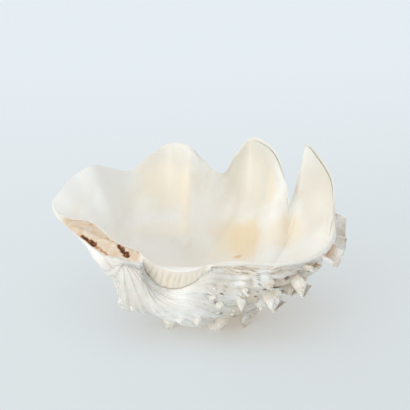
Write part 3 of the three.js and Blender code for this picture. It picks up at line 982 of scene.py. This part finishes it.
# Leaf scales, as on the solid valve: share of the way round the rim, growth angle in
# degrees, width, length, lean towards the rim in degrees, how pointed, how deep a scoop
# for its width, then how grimy
SINGLE_SCALES = [
    (0.596, 17, 24, 17, 0, 0.1, 1.2, 0.5),
    (0.652, 15, 18, 17, 5, 0.1, 0.6, 0.6),
    (0.658, 33, 13, 11, 30, 0, 0.6, 1.0),
    (0.627, 52, 16, 24, -8, 0.3, 0.75, 0.7),
    (0.598, 74, 18, 21, 0, 0.5, 0.85, 1.0),
    (0.438, 66, 18, 21.6, 5, 0.4, 0.6, 0.8),
    (0.403, 84, 17, 12, -10, 0.7, 0.4, 0.9),
    (0.352, 76, 19, 12.8, 10, 0.4, 0.3, 0.6),
    (0.355, 55, 18, 21, 10, 0.2, 0.3, 0.6),
    (0.28, 52, 15, 25, 5, 0.3, 0.3, 0.5),
    (0.25, 80, 13, 25.3, 30, 0.2, 0.4, 0.5),
    (0.375, 100, 9, 9, -10, 1, 0.3, 0.4),
    (0.335, 108, 8, 7, 0, 1, 0.3, 0.4),
    (0.578, 92, 9, 12, 0, 0.7, 0.7, 0.4),
    (0.632, 72, 13, 11, 30, 0.4, 0.8, 1.0),
    (0.57, 80, 12, 12, 20, 0.6, 0.8, 1.0),
    (0.605, 60, 13, 12, 20, 0.5, 0.8, 1.0),
    (0.565, 110, 6, 5, 20, 0.3, 0.5, 0.5),
    (0.54, 104, 7, 6, 20, 0.3, 0.5, 0.5),
    (0.616, 88, 7, 6, 20, 0.3, 0.5, 0.8),
    (0.127, 104, 6, 5, 10, 0.6, 0.3, 0.2),
    (0.18, 102, 6, 5, 0, 0.6, 0.3, 0.3),
    (0.141, 20, 11, 8, 40, 0.2, 0.3, 0.3),
    (0.141, 46, 10, 9, 30, 0.4, 0.3, 0.4),
    (0.279, 20, 12, 8, 40, 0.2, 0.3, 0.4),
    (0.432, 20, 12, 9, 35, 0.2, 0.3, 0.6),
    (0.432, 44, 12, 12, 20, 0.3, 0.3, 0.6),
]

# The ribs behind, with a width factor and grime each, and the rows of scales on them
RIBS = [(0.07, 0.9, 0.3), (0.21, 1.1, 0.4), (0.355, 1.1, 0.5), (0.5, 0.7, 0.6)]
RIB_SCALES = [
    (12, 26, 14, 40, 0.1, 0.4),
    (26, 25, 17, 35, 0.1, 0.4),
    (41, 21, 19, 25, 0.2, 0.4),
]
SCALES = SINGLE_SCALES + [
    (share, angle, width * wider, *rest, grime)
    for share, wider, grime in RIBS
    for angle, width, *rest in RIB_SCALES
]

# Prickles: small scales in rows on the front, between two shares and two growth angles
PRICKLES = 52
PRICKLE_SHARES = (0.5, 0.64)
PRICKLE_DEGREES = (48, 112)
PRICKLE_WIDTH = (1.4, 3.4)
PRICKLE_LENGTH = (0.6, 1.2)
PRICKLE_LEAN = (30, 65)
PRICKLE_POINTED = 1.0
PRICKLE_SCOOP = 0.5
PRICKLE_GRIME = (0.0, 0.3)


def prickles():
    dice = np.random.default_rng(31)
    found = []
    for _ in range(PRICKLES):
        riblet = round(dice.uniform(*PRICKLE_SHARES) * RIBLETS)
        share = riblet / RIBLETS + dice.uniform(-0.002, 0.002)
        width = dice.uniform(*PRICKLE_WIDTH)
        long = width * dice.uniform(*PRICKLE_LENGTH)
        degrees = dice.uniform(*PRICKLE_DEGREES)
        lean = dice.uniform(*PRICKLE_LEAN)
        grime = dice.uniform(*PRICKLE_GRIME)
        found.append((share, degrees, width, long, lean, PRICKLE_POINTED, PRICKLE_SCOOP, grime))
    return found


LEAF_ROWS = 14
LEAF_COLUMNS = 20
LEAF_ROOT_SHARE = 0.6
LEAF_THICKNESS = 2.4
LEAF_ROOT_THICKNESS = 0.5
LEAF_TIP = 0.7
LEAF_FLARE = 0.3
LEAF_TAPER = (0.4, 1.0)
LEAF_ROUNDING = (0.25, 0.6)
LEAF_ROUNDING_POWER = 1.4
LEAF_CURL = 0.12
LEAF_CRUMB = 4.0
LEAF_CRUMB_HEIGHT = 0.5
LEAF_RIPPLE = 0.028
LEAF_LINE_HEIGHT = 0.16
LEAF_LINES_UP = 2.2
LEAF_LINES_ACROSS = 1.5
LEAF_BREAK = 0.1
LEAF_GRIME_BREAK = 0.16
LEAF_PROUD = 0.03
LEAF_SHARE_STEP = 0.01
LEAF_TURN = math.radians(2)
LEAF_NEAREST = math.radians(4)


def leaf(scale, seed):
    """One leaf scale as a closed net: its front face, then its back face, ring by ring."""
    share, degrees, width, length, lean_degrees, pointed, scoop, grime = scale
    taper = mixed(*LEAF_TAPER, pointed)
    rounding = mixed(*LEAF_ROUNDING, pointed)
    angle = math.radians(degrees)
    lean = math.radians(lean_degrees)
    low_angle = max(0.0, angle - LEAF_TURN)
    growth = face_point(share, low_angle) - face_point(share, angle + LEAF_TURN)
    per_angle = np.linalg.norm(growth) / (angle + LEAF_TURN - low_angle)
    growth = unit(growth)
    across = face_point(share + LEAF_SHARE_STEP, angle) - face_point(share - LEAF_SHARE_STEP, angle)
    per_share = np.linalg.norm(across) / (2 * LEAF_SHARE_STEP)
    across = unit(across - growth * (across @ growth))
    outward = np.cross(growth, across)
    up = outward * math.cos(lean) + growth * math.sin(lean)
    rimward = growth * math.cos(lean) - outward * math.sin(lean)
    dice = np.random.default_rng(seed)
    ragged = dice.uniform(-LEAF_BREAK - LEAF_GRIME_BREAK * grime, LEAF_PROUD, LEAF_COLUMNS + 1)
    ragged = np.convolve(np.pad(ragged, 1, mode="edge"), [0.25, 0.5, 0.25], "valid")
    folds = dice.integers(3, 6)
    phase = dice.uniform(0, TAU)
    feet, roots = [], []
    for column in range(LEAF_COLUMNS + 1):
        sideways = 2 * column / LEAF_COLUMNS - 1
        foot_angle = max(LEAF_NEAREST, angle - scoop * width * sideways ** 2 / per_angle)
        foot_share = share + sideways * width / 2 / per_share
        foot = face_point(foot_share, foot_angle)
        deep = LEAF_ROOT_SHARE * mixed(LIP / 2, THINNEST, min(1.0, foot_angle / HOLLOW_ANGLE))
        feet.append(foot)
        roots.append(foot - face_normal(foot_share, foot_angle) * deep)
    places, heights, fronts = [], [], []

    def place(column, row, side):
        sideways = 2 * column / LEAF_COLUMNS - 1
        height = row / LEAF_ROWS
        if row == 0:
            return roots[column] + rimward * side * LEAF_ROOT_THICKNESS / 2
        spread = sideways * width / 2 * (LEAF_FLARE * height - taper * height ** 3)
        full = length * (1 - rounding * abs(sideways) ** LEAF_ROUNDING_POWER + ragged[column] * height)
        rise = full * height
        ripple = LEAF_RIPPLE * width * height * math.sin(folds * math.pi * sideways + phase)
        lines = height * length * LEAF_LINES_UP + LEAF_LINES_ACROSS * sideways
        line = LEAF_LINE_HEIGHT * math.sin(lines) * height
        thickness = mixed(LEAF_THICKNESS, LEAF_TIP, height) * (1 - 0.5 * abs(sideways) ** 6)
        push = LEAF_CURL * length * height ** 2 + ripple + side * (thickness / 2 + line)
        return feet[column] + across * spread + up * rise + rimward * push

    for row in range(LEAF_ROWS + 1):
        for side, columns in ((1, range(LEAF_COLUMNS + 1)), (-1, range(LEAF_COLUMNS, -1, -1))):
            for column in columns:
                places.append(place(column, row, side))
                heights.append(row / LEAF_ROWS)
                fronts.append(1.0 if side > 0 else 0.0)
    middle = LEAF_COLUMNS // 2
    ends = [(place(middle, row, 1) + place(middle, row, -1)) / 2 for row in (0, LEAF_ROWS)]
    places = np.array([ends[0], *places, ends[1]])
    heights = [0.0, *heights, 1.0]
    fronts = [0.5, *fronts, 0.5]
    net = net_faces(LEAF_ROWS + 1, 2 * (LEAF_COLUMNS + 1))
    return places, net, heights, fronts, [grime] * len(places)


def inside_box(places):
    """Points in the row frame, held at the solid valve's box where they would pass it."""
    return np.clip(to_row(places), *np.array(cad_box))


def build_shell():
    valve = Valve()
    places = np.concatenate([valve.middle[None], valve.rings.reshape(-1, 3), valve.tip[None]])
    masks = {}
    for name, values in valve.masks.items():
        flat = values.ravel()
        masks[name] = np.concatenate([[flat[0]], flat, [flat[-1]]])
    faces = net_faces(len(valve.rings), STATIONS)
    return mesh_object("shell", inside_box(places), faces, masks, shell_finish())


LEAF_SEED = 100
CRUMB_SEED = 41


def build_leaves():
    places, faces, masks = [], [], {"height": [], "front": [], "grime": []}
    start = 0
    for seed, scale in enumerate(SCALES + prickles()):
        points, net, heights, fronts, grime = leaf(scale, LEAF_SEED + seed)
        crumbs = [ripples(points, LEAF_CRUMB, CRUMB_SEED + axis) for axis in range(3)]
        crumbs = np.stack(crumbs, -1)
        away = (np.array(heights) * np.array(grime))[:, None]
        places.append(points + LEAF_CRUMB_HEIGHT * away * crumbs)
        faces += [tuple(start + v for v in face) for face in net]
        masks["height"] += heights
        masks["front"] += fronts
        masks["grime"] += grime
        start += len(points)
    rows = inside_box(np.concatenate(places))
    return mesh_object("leaf_scales", rows, faces, masks, leaf_finish())


shell = build_shell()
leaves = build_leaves()
for piece in (shell, leaves):
    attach(piece, "root")
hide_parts("valve")


# Camera: it looks along +Y and down, from where the photograph was taken

CAMERA_DOWN = math.radians(24)
CAMERA_AWAY = 1150.0
PICTURE = 410
FOCAL_PIXELS = 1332.6
BEAK_PIXEL = (122.0, 262.0)
SENSOR_MM = 36.0
CLIP_END = 50


def add_camera():
    forward = np.array([0, math.cos(CAMERA_DOWN), -math.sin(CAMERA_DOWN)])
    right = np.array([1.0, 0, 0])
    up = np.cross(right, forward)
    across = (BEAK_PIXEL[0] - PICTURE / 2) / FOCAL_PIXELS * CAMERA_AWAY
    above = (PICTURE / 2 - BEAK_PIXEL[1]) / FOCAL_PIXELS * CAMERA_AWAY
    spot = BEAK - (forward * CAMERA_AWAY + right * across + up * above)
    data = bpy.data.cameras.new("camera")
    data.sensor_width = SENSOR_MM
    data.lens = SENSOR_MM * FOCAL_PIXELS / PICTURE
    data.clip_end = CLIP_END
    camera = bpy.data.objects.new("camera", data)
    camera.location = Vector(spot * MM)
    camera.rotation_euler = Vector(forward).to_track_quat("-Z", "Y").to_euler()
    bpy.context.scene.collection.objects.link(camera)
    bpy.context.scene.camera = camera


def add_light(name, kind, spot, aim, energy, size, colour):
    data = bpy.data.lights.new(name, kind)
    data.energy = energy
    data.color = colour
    if kind == "AREA":
        data.shape = "DISK"
        data.size = size
    else:
        data.angle = size
    light = bpy.data.objects.new(name, data)
    light.location = spot
    light.rotation_euler = (Vector(aim) - Vector(spot)).to_track_quat("-Z", "Y").to_euler()
    bpy.context.scene.collection.objects.link(light)


# Name, kind, place, aim, energy, size (an angle for the sun), colour
LIGHTS = [
    ("key", "SUN", (-0.3, -0.3, 1.5), (0, 0, 0.05), 0.5, math.radians(75), (0.95, 0.98, 1.0)),
    ("front_fill", "AREA", (-0.75, -0.75, 0.2), (0, 0, 0.03), 4.5, 0.7, (1.0, 0.97, 0.93)),
]
SKY_COLOUR = (0.97, 0.985, 1.0, 1.0)
SKY_STRENGTH = 0.75
PAPER_FAR = paint("#b5cfdd")
# The floor's colour near the front: painted shade, darker than the far floor
PAPER_NEAR_PAINTED_SHADE = paint("#9db6c2")
PAPER_GLOW = paint("#ffe5d0")
PAPER_GLOW_STRENGTH = 0.36
PAPER_SPAN = (-0.35, 0.9)
PAPER_HALF = 6.0


def add_room():
    """A pale floor, painted darker towards the front as painted shade, a wide sky, a very soft key light
    from above, a low fill from the front.
    """
    floor_finish = Finish("pale_paper")
    backward = floor_finish.node("ShaderNodeSeparateXYZ", {}, floor_finish.place(), out=1)
    # Painted shade: the floor is coloured darker towards the front
    near = 1 - backward.step(*PAPER_SPAN)
    floor_finish.set(Base_Color=floor_finish.mix(near, PAPER_FAR, PAPER_NEAR_PAINTED_SHADE), Roughness=0.9)
    floor_finish.set(Emission_Color=PAPER_GLOW, Emission_Strength=PAPER_GLOW_STRENGTH)
    half = PAPER_HALF
    corners = [(-half, -half, 0.0), (half, -half, 0.0), (half, half, 0.0), (-half, half, 0.0)]
    floor = mesh_object("paper_floor", corners, [(0, 1, 2, 3)], {}, floor_finish.material)
    world = bpy.data.worlds.new("studio")
    world.use_nodes = True
    sky = world.node_tree.nodes["Background"]
    sky.inputs["Color"].default_value = SKY_COLOUR
    sky.inputs["Strength"].default_value = SKY_STRENGTH
    bpy.context.scene.world = world
    for light in LIGHTS:
        add_light(*light)


bpy.context.scene.view_settings.view_transform = "Standard"
add_camera()
add_room()
